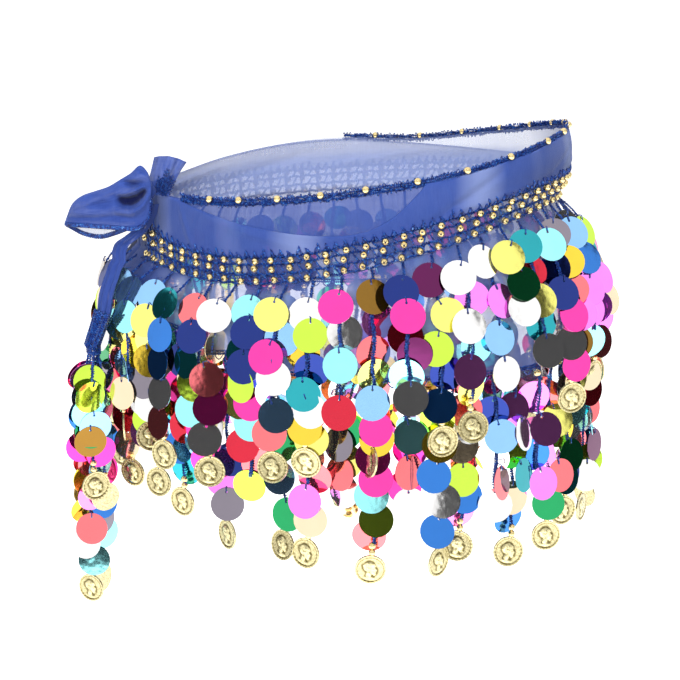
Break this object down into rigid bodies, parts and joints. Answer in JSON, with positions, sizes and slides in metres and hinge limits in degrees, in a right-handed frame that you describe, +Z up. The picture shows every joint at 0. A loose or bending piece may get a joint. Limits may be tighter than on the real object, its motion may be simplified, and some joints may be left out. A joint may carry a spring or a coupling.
{
  "type": "belly dance hip scarf",
  "caption": "Chiffon hip scarf worn as a hoop and knotted at one side, with a beaded crochet band and two tiers of paillette and coin fringe.",
  "frame": {"origin": "middle of the hoop, level with the bead band at its mean height, where the wearer's hips hold it", "axes": "+Z up the wearer, -Y to the front, +X along the hoop's long axis, with the knot on the -X side of the front"},
  "size_m": [0.3682, 0.3165, 0.3335],
  "materials": {
    "chiffon": "sheer royal blue crinkle chiffon, soft and matt, doubled where it is folded",
    "crochet_thread": "navy metallic crochet thread in chain stitch",
    "gold_beads": "polished gilt beads and thin stamped coins",
    "paillettes": "mirror film discs in some twenty colours"
  },
  "bodies": {
    "root": {"chiffon_strip": "chiffon", "front_ply": "chiffon", "back_ply": "chiffon", "knot": "chiffon", "bow_loop": "chiffon", "upper_end": "chiffon", "tail_end": "chiffon", "rim_edging": "crochet_thread", "bead_band": "gold_beads", "upper_fringe": "paillettes", "lower_fringe": "paillettes", "tail_fringe": "paillettes"}
  },
  "joints": []
}
